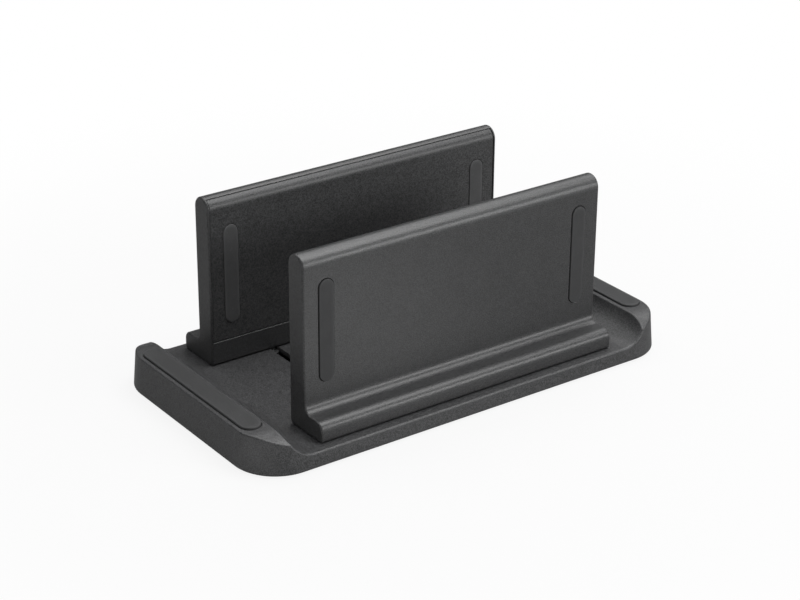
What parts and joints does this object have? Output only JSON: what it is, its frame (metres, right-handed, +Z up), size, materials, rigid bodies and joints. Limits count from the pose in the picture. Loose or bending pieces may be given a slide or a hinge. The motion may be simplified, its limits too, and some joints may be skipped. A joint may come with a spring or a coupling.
{
  "type": "mini pc holder",
  "caption": "Low tray with two sliding uprights that hold a small computer on edge between rubber strips.",
  "frame": {"origin": "middle of the base on the surface that it stands on", "axes": "+X along the base to the right of someone facing it, +Y to the rear, +Z up"},
  "size_m": [0.2294, 0.1238, 0.0898],
  "materials": {
    "tray_plastic": "fine matte moulded texture",
    "upright_plastic": "fine sandblast grain with a satin sheen",
    "panel_plastic": "fine matte moulded texture",
    "rubber": "matte",
    "plate_steel": "fine textured powder coat",
    "screw_steel": "plain zinc plated",
    "glide_plastic": "smooth, slippery"
  },
  "bodies": {
    "base": {"base_tray": "tray_plastic", "bottom_plate": "plate_steel", "bottom_plate_screws": "screw_steel", "foot_front_left": "rubber", "foot_front_right": "rubber", "foot_rear_left": "rubber", "foot_rear_right": "rubber", "left_bar_pad": "rubber", "right_bar_pad": "rubber"},
    "front_upright": {"front_upright_shell": "upright_plastic", "front_inner_panel": "panel_plastic", "front_panel_screws": "screw_steel", "front_outer_strip_left": "rubber", "front_outer_strip_right": "rubber", "front_inner_strip_left": "rubber", "front_inner_strip_right": "rubber", "front_foot_glide_left": "glide_plastic", "front_foot_glide_right": "glide_plastic", "front_clamp_bar": "screw_steel", "front_clamp_screws": "screw_steel", "front_spring_washers": "screw_steel", "front_glide_pad_left": "glide_plastic", "front_glide_pad_right": "glide_plastic"},
    "rear_upright": {"rear_upright_shell": "upright_plastic", "rear_inner_panel": "panel_plastic", "rear_panel_screws": "screw_steel", "rear_outer_strip_left": "rubber", "rear_outer_strip_right": "rubber", "rear_inner_strip_left": "rubber", "rear_inner_strip_right": "rubber", "rear_foot_glide_left": "glide_plastic", "rear_foot_glide_right": "glide_plastic", "rear_clamp_bar": "screw_steel", "rear_clamp_screws": "screw_steel", "rear_spring_washers": "screw_steel", "rear_glide_pad_left": "glide_plastic", "rear_glide_pad_right": "glide_plastic"}
  },
  "joints": [
    {"name": "front_slide", "type": "slide", "parent": "base", "child": "front_upright", "axis": [0, 1, 0], "range_m": [-0.0024, 0.0252]},
    {"name": "rear_slide", "type": "slide", "parent": "base", "child": "rear_upright", "axis": [0, -1, 0], "range_m": [-0.0022, 0.0254]}
  ]
}
